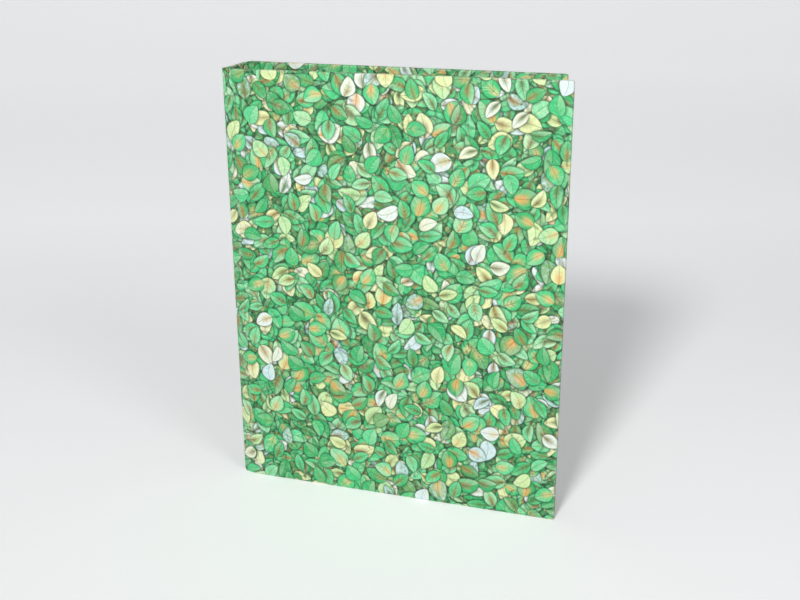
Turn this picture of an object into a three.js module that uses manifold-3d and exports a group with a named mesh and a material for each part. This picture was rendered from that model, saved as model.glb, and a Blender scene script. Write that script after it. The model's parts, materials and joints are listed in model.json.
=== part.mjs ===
// A small hardcover ring binder for half-letter leaves, closed and standing on its bottom edge.
// Three greyboards are wrapped in one printed paper and lined with plain paper. The paper alone
// joins the boards, as two flexible strips. A three-ring mechanism is riveted to the spine.
// Millimetres, +Z up. The front cover faces -Y, the spine is at -X, and the group's origin is the
// middle of the bottom of its bounding box.
import * as THREE from "three";
import { mergeVertices } from "three/addons/utils/BufferGeometryUtils.js";
import Module from "manifold-3d";

const wasm = await Module();
wasm.setup();

// Case: boards, paper and how the closed case sits
const coverHeight = 229;
const boardWidth = 173;
const spineWidth = 27;
const greyboardThickness = 2.2;
const coveringThickness = 0.35;
const liningThickness = 0.3;
const glueLine = 0.1;
const turnInWidth = 15;
const liningMargin = 6;
const edgeRounding = 0.5;
const cornerRounding = 0.3;
const jointWidth = 8;
const jointTrim = 0.9;
const jointClearance = 0.3;
const jointSteps = 12;
const spineCornerRun = 3;
const frontJointAngle = 20;
const backJointAngle = 72;
const spineLean = 3;
const backCoverPinch = 3.6;

// Ring mechanism: sheet-metal housing, two hinge plates, three split rings
const ringSpacing = 69.85;
const ringCount = 3;
const ringInnerDiameter = 16;
const ringWire = 2.8;
const ringTipGap = 0.3;
const ringTipLength = 1.3;
const ringTipRadius = 0.84;
const ringTipTaper = 0.4;
const ringTipRoot = 0.1;
const ringRootOffset = 5;
const tenonRadius = 0.8;
const stakedHeadRadius = 1.3;
const stakedHeadThickness = 0.35;
const housingLength = 192;
const housingWidth = 17;
const housingHeight = 7;
const housingWallHeight = 3;
const sheetMetal = 0.8;
const housingFoot = 0.1;
const curlWidth = 0.9;
const curlHeight = 1.6;
const slotClearance = 0.6;
const hingePlateEndGap = 6.5;
const hingePlateThickness = 0.9;
const hingePlatePivotHeight = 2.3;
const hingePlateWallGap = 0.4;
const hingePlateCentreGap = 0.3;
const hingePlateTilt = 6.5;
const seatClearance = 0.15;
const cutMargin = 1;
const weldDistance = 1e-4;

// Rivets, their collars, and the levers at both ends
const rivetInset = 12;
const rivetShankRadius = 2;
const rivetHeadRadius = 4.5;
const rivetHeadHeight = 1.3;
const rivetSeatRadius = 3.7;
const rivetClinchRadius = 3;
const rivetClinchHeight = 0.7;
const rivetClinchBevel = 0.4;
const rivetClinchDish = 0.3;
const collarRadius = 3;
const leverPivotInset = 4;
const leverPivotHeight = 2.2;
const leverPinRadius = 0.8;
const leverPinRecess = 0.1;
const leverBarrelRadius = 1.6;
const leverBarrelLength = 11;
const leverSheet = 1;
const leverArmWidth = 9;
const leverTabWidth = 12;
const leverTabCorner = 3;
const leverTabFlare = 1;
const leverReach = 12.5;
const leverRise = 10;
const leverWaist = 0.55;
// The arm's centre line from the barrel to the tip, as shares of its rise and its reach
const leverProfile = [[0.09, 0], [0.14, 0.32], [0.45, 0.66], [0.9, 0.85], [1, 1]];
const leverJawWidth = 3;
const leverJawOverlap = 1.3;
const leverFootTop = 0.85;
const leverFootThickness = 0.6;
const leverFingerBottom = 2.75;
const leverFingerThickness = 0.6;

// Sizes that follow from the ones above
const radians = THREE.MathUtils.degToRad;
const boardTop = coveringThickness + glueLine + greyboardThickness;
const turnInTop = boardTop + glueLine + coveringThickness;
const liningTop = turnInTop + glueLine + liningThickness;
const stripThickness = coveringThickness + glueLine + liningThickness;
const housingHalfWidth = housingWidth / 2;
const ringRadius = (ringInnerDiameter + ringWire) / 2;
const wireRadius = ringWire / 2;
const crownRadius = archRadius(housingHalfWidth, housingHeight - housingWallHeight);
const crownInnerRadius = crownRadius - sheetMetal;
const platePivotOffset = housingHalfWidth - sheetMetal - hingePlateWallGap;
const plateWidth = platePivotOffset - hingePlateCentreGap / 2;
const hingePlateLength = housingLength - 2 * hingePlateEndGap;
const leverJawReach = hingePlateEndGap - leverPivotInset + leverJawOverlap;
const plateTopAtRoot = hingePlatePivotHeight + hingePlateThickness / 2
  - (platePivotOffset - ringRootOffset) * Math.tan(radians(hingePlateTilt));
const ringCentreHeight = plateTopAtRoot + seatClearance
  + Math.sqrt(ringRadius ** 2 - ringRootOffset ** 2);
const rivetPlaces = [housingLength / 2 - rivetInset, rivetInset - housingLength / 2];
const ringPlaces = Array.from(
  { length: ringCount },
  (_, i) => (i - (ringCount - 1) / 2) * ringSpacing,
);
const leverPivotPlace = housingLength / 2 - leverPivotInset;

// The radius of an arch, from half its width and its rise.
function archRadius(halfWidth, rise) {
  return (halfWidth ** 2 + rise ** 2) / (2 * rise);
}

// How far an arch falls from its crown by some distance to the side.
function archDrop(radius, distance) {
  return radius - Math.sqrt(radius ** 2 - distance ** 2);
}

// Solid helpers: closed three.js geometry in and out of the boolean library
function toSolid(geometry) {
  const bare = geometry.index ? geometry.toNonIndexed() : geometry.clone();
  bare.deleteAttribute("normal");
  bare.deleteAttribute("uv");
  const merged = mergeVertices(bare, weldDistance);
  return new wasm.Manifold(new wasm.Mesh({
    numProp: 3,
    vertProperties: new Float32Array(merged.attributes.position.array),
    triVerts: new Uint32Array(merged.index.array),
  }));
}

function toGeometry(solid) {
  const mesh = solid.getMesh();
  const geometry = new THREE.BufferGeometry();
  geometry.setAttribute("position", new THREE.BufferAttribute(new Float32Array(mesh.vertProperties), 3));
  geometry.setIndex(new THREE.BufferAttribute(new Uint32Array(mesh.triVerts), 1));
  geometry.computeVertexNormals();
  return geometry;
}

function joined(solids) {
  return solids.reduce((whole, solid) => whole.add(solid));
}

// A block between two opposite corners.
function block([x0, x1], [y0, y1], [z0, z1]) {
  const geometry = new THREE.BoxGeometry(x1 - x0, y1 - y0, z1 - z0);
  geometry.translate((x0 + x1) / 2, (y0 + y1) / 2, (z0 + z1) / 2);
  return toSolid(geometry);
}

// A round bar along X, Y or Z, centred on a point.
function bar(axis, radius, length, [x, y, z], sides = 24) {
  const geometry = new THREE.CylinderGeometry(radius, radius, length, sides);
  if (axis === "x") geometry.rotateZ(Math.PI / 2);
  if (axis === "z") geometry.rotateX(Math.PI / 2);
  geometry.translate(x, y, z);
  return toSolid(geometry);
}

// An outline in the XY plane, raised along Z between two heights.
function prism(shape, [z0, z1], curveSegments = 12) {
  const geometry = new THREE.ExtrudeGeometry(shape, { depth: z1 - z0, bevelEnabled: false, curveSegments });
  geometry.translate(0, 0, z0);
  return toSolid(geometry);
}

// The outline of a bent sheet that follows a line of points, with its thickness to each side.
function bentSheet(points, leftThickness, rightThickness) {
  const left = [];
  const right = [];
  points.forEach((point, i) => {
    const before = points[Math.max(i - 1, 0)];
    const after = points[Math.min(i + 1, points.length - 1)];
    const along = after.clone().sub(before).normalize();
    const across = new THREE.Vector2(-along.y, along.x);
    left.push(point.clone().addScaledVector(across, leftThickness));
    right.push(point.clone().addScaledVector(across, -rightThickness));
  });
  return new THREE.Shape([...right, ...left.reverse()]);
}

function roundedRectangle(x0, x1, y0, y1, radius) {
  const shape = new THREE.Shape();
  shape.moveTo(x0 + radius, y0);
  shape.lineTo(x1 - radius, y0);
  shape.absarc(x1 - radius, y0 + radius, radius, -Math.PI / 2, 0);
  shape.lineTo(x1, y1 - radius);
  shape.absarc(x1 - radius, y1 - radius, radius, 0, Math.PI / 2);
  shape.lineTo(x0 + radius, y1);
  shape.absarc(x0 + radius, y1 - radius, radius, Math.PI / 2, Math.PI);
  shape.lineTo(x0, y0 + radius);
  shape.absarc(x0 + radius, y0 + radius, radius, Math.PI, 1.5 * Math.PI);
  return shape;
}

// Materials
const printedPaper = new THREE.MeshStandardMaterial({ color: 0x4fae6a, roughness: 0.5, metalness: 0 });
const liningPaper = new THREE.MeshStandardMaterial({ color: 0xe8e2cf, roughness: 0.85, metalness: 0 });
const greyboard = new THREE.MeshStandardMaterial({ color: 0x8e8a80, roughness: 0.95, metalness: 0 });
const nickel = new THREE.MeshStandardMaterial({ color: 0xc4c6c8, roughness: 0.25, metalness: 1 });

function piece(name, solid, material) {
  const mesh = new THREE.Mesh(toGeometry(solid), material);
  mesh.name = name;
  return mesh;
}

// Case pieces. Each is laid out flat: X across the cover from `start` to `end`, Y from the outer
// face (0) inwards, Z up. The paper wraps the head and tail, and each free edge that is named.
function wrappedSlab(start, end, hasForeEdge) {
  // The bevel grows this outline to the full size.
  const outline = roundedRectangle(
    start - 2 * cutMargin, (hasForeEdge ? end : end + 2 * cutMargin) - edgeRounding,
    edgeRounding, coverHeight - edgeRounding, cornerRounding,
  );
  const geometry = new THREE.ExtrudeGeometry(outline, {
    depth: turnInTop - 2 * edgeRounding,
    bevelEnabled: true,
    bevelSize: edgeRounding,
    bevelThickness: edgeRounding,
    bevelSegments: 3,
    curveSegments: 4,
  });
  geometry.translate(0, 0, edgeRounding);
  geometry.rotateX(Math.PI / 2);
  geometry.translate(0, turnInTop, 0);
  return toSolid(geometry).intersect(block(
    [start, end],
    [-cutMargin, turnInTop + cutMargin],
    [-cutMargin, coverHeight + cutMargin],
  ));
}

function covering(start, end, hasForeEdge) {
  const foreWall = hasForeEdge ? coveringThickness : -cutMargin;
  const foreTurnIn = hasForeEdge ? turnInWidth : -cutMargin;
  const cavity = block(
    [start - cutMargin, end - foreWall],
    [coveringThickness, turnInTop - coveringThickness],
    [coveringThickness, coverHeight - coveringThickness],
  );
  const window = block(
    [start - cutMargin, end - foreTurnIn],
    [boardTop, turnInTop + cutMargin],
    [turnInWidth, coverHeight - turnInWidth],
  );
  return wrappedSlab(start, end, hasForeEdge).subtract(cavity).subtract(window);
}

function board(start, end, hasForeEdge) {
  const inset = coveringThickness + glueLine;
  return block(
    [start, end - (hasForeEdge ? inset : 0)],
    [inset, boardTop],
    [inset, coverHeight - inset],
  );
}

// The lining lies on the turn-ins and sinks between them onto the board.
function lining(start, end, hasForeEdge) {
  const foreMargin = hasForeEdge ? liningMargin : 0;
  const foreSink = hasForeEdge ? turnInWidth + glueLine : 0;
  const sheet = block(
    [start, end - foreMargin],
    [turnInTop + glueLine, liningTop],
    [liningMargin, coverHeight - liningMargin],
  );
  const sunk = block(
    [start, end - foreSink],
    [boardTop + glueLine, liningTop],
    [turnInWidth + glueLine, coverHeight - turnInWidth - glueLine],
  );
  return sheet.add(sunk);
}

// Turns a case piece laid out for the front into one for the back: Y runs the other way.
function mirrored(solid) {
  return solid.mirror([0, 1, 0]);
}

// Holes through the spine for the rivet shanks.
function drilledSpine(solid) {
  return rivetPlaces.reduce((drilled, place) => drilled.subtract(bar(
    "y", rivetShankRadius + seatClearance, 4 * liningTop,
    [spineWidth / 2, 0, coverHeight / 2 + place],
  )), solid);
}

const frontCover = new THREE.Group();
frontCover.add(
  piece("front_board", board(0, boardWidth, true), greyboard),
  piece("front_covering", covering(0, boardWidth, true), printedPaper),
  piece("front_lining", lining(0, boardWidth, true), liningPaper),
);

const backCover = new THREE.Group();
backCover.add(
  piece("back_board", mirrored(board(0, boardWidth, true)), greyboard),
  piece("back_covering", mirrored(covering(0, boardWidth, true)), printedPaper),
  piece("back_lining", mirrored(lining(0, boardWidth, true)), liningPaper),
);

// The spine's own pieces are laid out like a cover, with the outer face at Y 0 and X across the spine.
const spinePanel = new THREE.Group();
const spinePanelEnds = [spineCornerRun + jointClearance, spineWidth - spineCornerRun - jointClearance];
spinePanel.add(
  piece("spine_board", drilledSpine(board(...spinePanelEnds, false)), greyboard),
  piece("spine_covering", drilledSpine(covering(...spinePanelEnds, false)), printedPaper),
  piece("spine_lining", drilledSpine(lining(...spinePanelEnds, false)), liningPaper),
);

// Plan of the closed case: the front cover lies on Y 0, and the joints and spine follow from it.
const direction = (degrees) => new THREE.Vector2(Math.cos(radians(degrees)), Math.sin(radians(degrees)));
const frontCrease = new THREE.Vector2(jointWidth * Math.cos(radians(frontJointAngle)), 0);
const spineFront = frontCrease.clone()
  .addScaledVector(direction(180 - frontJointAngle), jointWidth);
const spineBack = spineFront.clone().addScaledVector(direction(90 + spineLean), spineWidth);
const backCrease = spineBack.clone().addScaledVector(direction(backJointAngle), jointWidth);

frontCover.position.set(frontCrease.x, frontCrease.y, 0);
backCover.position.set(backCrease.x, backCrease.y, 0);
backCover.rotation.z = -radians(backCoverPinch);
// X across the spine turns to run from front to back, which leaves Y, inwards, pointing at +X.
spinePanel.position.set(spineFront.x, spineFront.y, 0);
const spineTurn = new THREE.Matrix4().makeBasis(
  new THREE.Vector3(-Math.sin(radians(spineLean)), Math.cos(radians(spineLean)), 0),
  new THREE.Vector3(Math.cos(radians(spineLean)), Math.sin(radians(spineLean)), 0),
  new THREE.Vector3(0, 0, -1),
);
spinePanel.setRotationFromMatrix(spineTurn);
spinePanel.position.z = coverHeight;

// A joint strip: covering and lining pasted together. It runs from a cover's edge to the spine's
// outer corner, rounds it, and goes on along the spine as far as the spine board. Its outline is
// followed with the outside on the left. The end by the cover is cut back from the cover's edge.
function jointStrip(name, start, corner, end, cover) {
  const curve = new THREE.QuadraticBezierCurve(start, corner, end);
  const sheet = prism(bentSheet(curve.getPoints(jointSteps), 0, stripThickness), [0, coverHeight]);
  cover.updateMatrix();
  const reach = 2 * jointWidth;
  const edge = new THREE.BoxGeometry(reach, 2 * reach, 2 * coverHeight + reach);
  edge.translate(reach / 2 - jointClearance, 0, 0);
  edge.applyMatrix4(cover.matrix);
  return piece(name, sheet.subtract(toSolid(edge)), printedPaper);
}

const towards = (from, to, distance) => from.clone()
  .addScaledVector(to.clone().sub(from).normalize(), distance);
const frontStrip = jointStrip(
  "front_joint_strip",
  towards(frontCrease, spineFront, jointTrim), spineFront,
  towards(spineFront, spineBack, spineCornerRun), frontCover,
);
const backStrip = jointStrip(
  "back_joint_strip",
  towards(spineBack, spineFront, spineCornerRun), spineBack,
  towards(backCrease, spineBack, jointTrim), backCover,
);

// Ring mechanism, in its own frame: X away from the spine, Y across it, Z up, origin on the lining
// at the middle of the spine.
const mechanism = new THREE.Group();
const spineMiddle = spineFront.clone().lerp(spineBack, 0.5)
  .addScaledVector(direction(spineLean), liningTop);
mechanism.position.set(spineMiddle.x, spineMiddle.y, coverHeight / 2);
mechanism.rotation.z = radians(spineLean);

// Housing: an arched channel with curled edges that the hinge plates pivot on.
function housingSolid() {
  const crownCentre = housingHeight - crownRadius;
  const innerHalfWidth = housingHalfWidth - sheetMetal;
  const outerAngle = Math.asin(housingHalfWidth / crownRadius);
  const innerAngle = Math.asin(innerHalfWidth / crownInnerRadius);
  const curlEdge = innerHalfWidth - curlWidth;
  const shape = new THREE.Shape();
  shape.moveTo(housingFoot, -housingHalfWidth);
  shape.lineTo(housingWallHeight, -housingHalfWidth);
  shape.absarc(crownCentre, 0, crownRadius, -outerAngle, outerAngle);
  shape.lineTo(housingFoot, housingHalfWidth);
  shape.lineTo(housingFoot, curlEdge);
  shape.lineTo(curlHeight, curlEdge);
  shape.lineTo(curlHeight, innerHalfWidth);
  shape.absarc(crownCentre, 0, crownInnerRadius, innerAngle, -innerAngle, true);
  shape.lineTo(curlHeight, -innerHalfWidth);
  shape.lineTo(curlHeight, -curlEdge);
  shape.lineTo(housingFoot, -curlEdge);
  const half = housingLength / 2;
  let housing = prism(shape, [-half, half], 16);
  for (const place of ringPlaces) {
    const width = ringWire / 2 + slotClearance;
    for (const side of [-1, 1]) {
      const near = side * (ringRootOffset - wireRadius - slotClearance);
      const far = side * (housingHalfWidth + cutMargin);
      housing = housing.subtract(block(
        [curlHeight + sheetMetal, housingHeight + cutMargin],
        side > 0 ? [near, far] : [far, near],
        [place - width, place + width],
      ));
    }
  }
  // A flat seat is pressed into the arch for the clinched end of each rivet.
  const seatBottom = housingHeight - archDrop(crownRadius, rivetSeatRadius) - sheetMetal / 8;
  for (const place of rivetPlaces) {
    housing = housing
      .add(bar(
        "x", rivetSeatRadius, housingHeight - seatBottom,
        [(housingHeight + seatBottom) / 2, 0, place], 32,
      ))
      .subtract(bar(
        "x", rivetShankRadius + seatClearance, housingHeight * 2, [housingHeight, 0, place],
      ));
  }
  for (const end of [-1, 1]) {
    housing = housing.subtract(bar(
      "y", leverPinRadius + seatClearance, housingWidth + 2 * cutMargin,
      [leverPivotHeight, 0, end * leverPivotPlace],
    ));
    housing = housing.subtract(leverMouth(end));
  }
  return housing;
}

// The crown is cut back over the lever, which swings through it.
function leverMouth(end) {
  const mouth = roundedRectangle(
    -leverTabWidth / 2 - slotClearance, leverTabWidth / 2 + slotClearance,
    leverPivotPlace, housingLength, leverTabCorner,
  );
  const cut = new THREE.ExtrudeGeometry(mouth, {
    depth: housingHeight,
    bevelEnabled: false,
    curveSegments: 6,
  });
  // The outline's X is across the housing and its Y is along it, so it is stood on the X axis.
  cut.applyMatrix4(new THREE.Matrix4().makeBasis(
    new THREE.Vector3(0, 1, 0),
    new THREE.Vector3(0, 0, 1),
    new THREE.Vector3(1, 0, 0),
  ));
  cut.translate(housingWallHeight, 0, 0);
  if (end < 0) cut.rotateX(Math.PI);
  return toSolid(cut);
}

mechanism.add(piece("mechanism_housing", housingSolid(), nickel));

// Hinge plates, closed: both slope down to the middle. Each is notched for the rivet collars and
// drilled for the tenons of its half rings.
function plateSlab(side, [bottom, top], width, length) {
  const geometry = new THREE.BoxGeometry(top - bottom, width, length);
  geometry.translate((top + bottom) / 2, -side * width / 2, 0);
  geometry.rotateZ(-side * radians(hingePlateTilt));
  geometry.translate(hingePlatePivotHeight, side * platePivotOffset, 0);
  return toSolid(geometry);
}

function hingePlate(side) {
  const halfThickness = hingePlateThickness / 2;
  let plate = plateSlab(side, [-halfThickness, halfThickness], plateWidth, hingePlateLength);
  for (const place of rivetPlaces) {
    plate = plate.subtract(bar("x", collarRadius + slotClearance, housingHeight * 2, [0, 0, place]));
  }
  for (const place of ringPlaces) {
    plate = plate.subtract(bar(
      "x", tenonRadius + seatClearance, housingHeight * 2, [0, side * ringRootOffset, place], 16,
    ));
  }
  return plate;
}

// Half of a round ring, from its tenon in the hinge plate to the split at the crown. The back
// half ends in a cone and the front half in the socket that takes it.
class HalfRingPath extends THREE.Curve {
  constructor(side) {
    super();
    this.side = side;
    this.rootAngle = Math.PI - Math.asin(ringRootOffset / ringRadius);
    this.tipAngle = ringTipGap / 2 / ringRadius;
  }

  getPoint(t) {
    const angle = this.rootAngle + (this.tipAngle - this.rootAngle) * t;
    return new THREE.Vector3(
      ringCentreHeight + ringRadius * Math.cos(angle),
      this.side * ringRadius * Math.sin(angle),
      0,
    );
  }
}

function tipCone(grow, end) {
  const radius = ringTipRadius + grow;
  const cone = new THREE.CylinderGeometry(radius, radius * ringTipTaper, ringTipLength + 2 * grow, 16);
  cone.translate(0, end, 0);
  cone.translate(ringCentreHeight + ringRadius, 0, 0);
  return toSolid(cone);
}

function halfRing(side) {
  const section = new THREE.Shape().absarc(0, 0, wireRadius, 0, 2 * Math.PI);
  const wire = toSolid(new THREE.ExtrudeGeometry(section, {
    extrudePath: new HalfRingPath(side),
    steps: 24,
    curveSegments: 8,
  }));
  const tenonTop = plateTopAtRoot + wireRadius;
  const plateBottom = plateTopAtRoot - hingePlateThickness;
  const slopeRoom = tenonRadius * Math.tan(radians(hingePlateTilt)) * 2;
  const headTop = plateBottom - slopeRoom - seatClearance / 2;
  const tenonBottom = headTop - stakedHeadThickness;
  const tenon = bar(
    "x", tenonRadius, tenonTop - tenonBottom, [(tenonTop + tenonBottom) / 2, side * ringRootOffset, 0], 16,
  );
  const head = bar(
    "x", stakedHeadRadius, stakedHeadThickness,
    [headTop - stakedHeadThickness / 2, side * ringRootOffset, 0], 16,
  );
  // The wire ends where it stands on the plate.
  const seat = hingePlateThickness / 2 + seatClearance;
  const underSeat = plateSlab(side, [seat - 2 * ringRadius, seat], 2 * housingWidth, 2 * ringWire);
  let half = wire.subtract(underSeat).add(tenon).add(head);
  // The cone reaches from the back half over the split, narrowing towards the front.
  const coneMiddle = ringTipGap / 2 + ringTipRoot - ringTipLength / 2;
  half = side > 0
    ? half.add(tipCone(0, coneMiddle))
    : half.subtract(tipCone(ringTipGap / 2, coneMiddle));
  return half;
}

const ringNames = ["bottom_ring", "middle_ring", "top_ring"];
for (const [side, sideName] of [[-1, "front"], [1, "back"]]) {
  mechanism.add(piece(`${sideName}_hinge_plate`, hingePlate(side), nickel));
  ringPlaces.forEach((place, i) => {
    const half = piece(`${ringNames[i]}_${sideName}_half`, halfRing(side), nickel);
    half.position.z = place;
    mechanism.add(half);
  });
}

// Rivets: a domed head outside the spine, a shank through the case and a collar, and a clinched
// end on the housing's crown.
function rivetSolid() {
  const outside = -liningTop - seatClearance / 2;
  const crown = housingHeight + seatClearance / 2;
  const steps = 6;
  const profile = [];
  for (let i = 0; i <= steps; i++) {
    const angle = (Math.PI / 2) * (i / steps);
    profile.push(new THREE.Vector2(
      rivetHeadRadius * Math.sin(angle), outside - rivetHeadHeight * Math.cos(angle),
    ));
  }
  profile.push(
    new THREE.Vector2(rivetShankRadius, outside),
    new THREE.Vector2(rivetShankRadius, crown),
    new THREE.Vector2(rivetClinchRadius, crown),
    new THREE.Vector2(rivetClinchRadius, crown + rivetClinchHeight - rivetClinchBevel),
    new THREE.Vector2(rivetClinchRadius - rivetClinchBevel, crown + rivetClinchHeight),
    new THREE.Vector2(rivetShankRadius, crown + rivetClinchHeight),
    new THREE.Vector2(0, crown + rivetClinchHeight - rivetClinchDish),
  );
  const geometry = new THREE.LatheGeometry(profile, 24);
  geometry.rotateZ(-Math.PI / 2);
  return toSolid(geometry);
}

function collarSolid() {
  const crownInside = housingHeight - sheetMetal - archDrop(crownInnerRadius, collarRadius);
  const length = crownInside - 2 * glueLine;
  const middle = [glueLine + length / 2, 0, 0];
  return bar("x", collarRadius, length, middle)
    .subtract(bar("x", rivetShankRadius + seatClearance, length + 2 * cutMargin, middle));
}

// Levers: a pressed tab that turns on a cross pin. Its jaw holds the ends of the hinge plates.
function leverSolid() {
  const path = new THREE.SplineCurve(leverProfile.map(([rise, reach]) => new THREE.Vector2(
    leverPivotHeight + leverRise * rise,
    leverPivotPlace + leverReach * reach,
  )));
  const centreline = path.getPoints(24);
  // The side outline has X away from the spine and Y along it; the prism's Z is across the housing.
  const stand = new THREE.Matrix4().makeBasis(
    new THREE.Vector3(1, 0, 0),
    new THREE.Vector3(0, 0, 1),
    new THREE.Vector3(0, -1, 0),
  );
  const raised = (shape, width) => {
    const geometry = new THREE.ExtrudeGeometry(shape, { depth: width, bevelEnabled: false });
    geometry.translate(0, 0, -width / 2);
    geometry.applyMatrix4(stand);
    return toSolid(geometry);
  };
  const arm = raised(bentSheet(centreline, leverSheet / 2, leverSheet / 2), leverTabWidth);
  // Seen from the front the arm is narrow at the pivot and widens to a tab with round corners.
  const tip = leverPivotPlace + leverReach + leverSheet;
  const waist = leverPivotPlace + leverReach * leverWaist;
  const armSide = leverArmWidth / 2;
  const tabSide = leverTabWidth / 2;
  const cornerSide = tabSide - leverTabCorner;
  const cornerStart = tip - leverTabCorner;
  const outline = new THREE.Shape();
  outline.moveTo(-armSide, leverPivotPlace - leverBarrelRadius);
  outline.lineTo(armSide, leverPivotPlace - leverBarrelRadius);
  outline.lineTo(armSide, waist);
  outline.quadraticCurveTo(tabSide, waist + leverTabFlare, tabSide, cornerStart);
  outline.absarc(cornerSide, cornerStart, leverTabCorner, 0, Math.PI / 2);
  outline.lineTo(-cornerSide, tip);
  outline.absarc(-cornerSide, cornerStart, leverTabCorner, Math.PI / 2, Math.PI);
  outline.quadraticCurveTo(-tabSide, waist + leverTabFlare, -armSide, waist);
  const stencilGeometry = new THREE.ExtrudeGeometry(outline, {
    depth: 2 * (leverPivotHeight + leverRise),
    bevelEnabled: false,
    curveSegments: 6,
  });
  stencilGeometry.applyMatrix4(new THREE.Matrix4().makeBasis(
    new THREE.Vector3(0, 1, 0),
    new THREE.Vector3(0, 0, 1),
    new THREE.Vector3(1, 0, 0),
  ));
  const stencil = toSolid(stencilGeometry);
  const barrel = bar("y", leverBarrelRadius, leverBarrelLength, [leverPivotHeight, 0, leverPivotPlace], 20);
  const jaw = (bottom, thickness) => block(
    [bottom, bottom + thickness],
    [-leverJawWidth / 2, leverJawWidth / 2],
    [leverPivotPlace - leverJawReach, leverPivotPlace],
  );
  const foot = jaw(leverFootTop - leverFootThickness, leverFootThickness);
  const finger = jaw(leverFingerBottom, leverFingerThickness);
  const bore = bar(
    "y", leverPinRadius + seatClearance, leverBarrelLength + 2 * cutMargin,
    [leverPivotHeight, 0, leverPivotPlace], 20,
  );
  return joined([arm.intersect(stencil), barrel, foot, finger]).subtract(bore);
}

const pinLength = housingWidth - 2 * leverPinRecess;
for (const [end, endName, rivetPlace] of [[1, "top", rivetPlaces[0]], [-1, "bottom", rivetPlaces[1]]]) {
  const rivet = piece(`${endName}_rivet`, rivetSolid(), nickel);
  const collar = piece(`${endName}_rivet_collar`, collarSolid(), nickel);
  rivet.position.z = rivetPlace;
  collar.position.z = rivetPlace;
  const pinSolid = bar(
    "y", leverPinRadius, pinLength, [leverPivotHeight, 0, end * leverPivotPlace], 20,
  );
  const lever = piece(`${endName}_lever`, leverSolid(), nickel);
  if (end < 0) lever.rotation.x = Math.PI;
  mechanism.add(rivet, collar, piece(`${endName}_lever_pin`, pinSolid, nickel), lever);
}

const binder = new THREE.Group();
binder.add(frontCover, backCover, spinePanel, frontStrip, backStrip, mechanism);
binder.updateMatrixWorld(true);
const box = new THREE.Box3().setFromObject(binder, true);
const centre = box.getCenter(new THREE.Vector3());
binder.children.forEach((child) => {
  child.position.x -= centre.x;
  child.position.y -= centre.y;
});

export default binder;
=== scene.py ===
# A small hardcover ring binder in leaf-printed paper, standing closed on a pale floor.
# Lengths are metres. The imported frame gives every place; the papers and joints are made here.
import json
import math

import bmesh
import bpy
import numpy as np
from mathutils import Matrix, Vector


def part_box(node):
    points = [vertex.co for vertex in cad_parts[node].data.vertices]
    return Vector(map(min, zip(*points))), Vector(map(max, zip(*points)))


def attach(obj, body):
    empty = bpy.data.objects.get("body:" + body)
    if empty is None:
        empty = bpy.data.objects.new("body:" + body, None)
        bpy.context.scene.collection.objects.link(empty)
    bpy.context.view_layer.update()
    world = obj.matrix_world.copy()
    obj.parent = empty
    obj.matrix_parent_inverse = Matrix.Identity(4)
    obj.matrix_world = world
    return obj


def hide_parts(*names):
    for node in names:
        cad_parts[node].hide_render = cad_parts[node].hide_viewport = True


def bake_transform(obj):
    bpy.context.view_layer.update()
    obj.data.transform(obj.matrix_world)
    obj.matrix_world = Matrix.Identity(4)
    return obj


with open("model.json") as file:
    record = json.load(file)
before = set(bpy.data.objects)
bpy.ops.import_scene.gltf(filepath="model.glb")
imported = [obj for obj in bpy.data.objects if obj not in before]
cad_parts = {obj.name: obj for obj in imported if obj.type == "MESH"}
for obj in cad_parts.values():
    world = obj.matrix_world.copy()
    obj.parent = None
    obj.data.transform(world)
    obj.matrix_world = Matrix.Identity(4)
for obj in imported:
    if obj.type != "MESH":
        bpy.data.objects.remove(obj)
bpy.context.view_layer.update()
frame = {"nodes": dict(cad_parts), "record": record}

MM = 0.001

# Sizes shared with the frame, read from its solids
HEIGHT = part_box("front_covering")[1].z
CASE_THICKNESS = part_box("front_covering")[1].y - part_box("front_covering")[0].y
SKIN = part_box("front_board")[0].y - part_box("front_covering")[0].y
LINING_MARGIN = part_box("front_lining")[0].z
LINING_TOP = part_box("front_lining")[1].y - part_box("front_covering")[0].y
RIVET_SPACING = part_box("top_rivet")[0].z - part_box("bottom_rivet")[0].z

# How the case papers are cut and turned in
PAPER = 0.35 * MM
TURN_IN = 15 * MM
EDGE_ROUND = 0.9 * MM
EDGE_STEPS = 5
CORNER_ROUND = 1.2 * MM
LEAST_CORNER_ROUND = 0.02 * MM
CORNER_STEPS = 4
WORN_CORNER = 4 * MM
EDGE_WEAR = 0.55
JOINT_WEAR = 0.5
SMOOTH_ANGLE = 40

# The joints between the covers and the spine
CORNER_RUN = 3.3 * MM
JOINT_THICKNESS = 0.95 * MM
JOINT_STEPS = 14
JOINT_ROUND = 1.3 * MM
JOINT_ROUND_STEPS = 8
JOINT_EDGE_ROUND = 0.4 * MM
JOINT_EDGE_STEPS = 4
JOINT_LAP = 0.25 * MM
BACK_COVER_LAP = 0.02 * MM
JOINT_BEND = 4.0 * MM
GROOVE_DEPTH = 0.5 * MM
GROOVE_WIDTH = 1.0 * MM
GROOVE_PLACE = 1.6 * MM

# The linings over the insides of the joints
STRIP_THICKNESS = 0.2 * MM
STRIP_GAP = 0.05 * MM
STRIP_RAISE = 0.06 * MM
STRIP_LAP = 2.5 * MM
STRIP_CLEARANCE = 0.3 * MM
STRIP_TRIM = 1.1 * MM


def node_points(name):
    """The points of a CAD node at rest."""
    return np.array([v.co for v in frame["nodes"][name].data.vertices], float)


# Camera, from the corners of the front cover in the photograph
PHOTO_WIDTH = 800
SENSOR_WIDTH = 36
FOCAL_PIXELS = 1063.5
CAMERA_PLACE = (0.1679, -0.5121, 0.2925)
CAMERA_TURN = (71.067, 0.308, 17.977)


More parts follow.
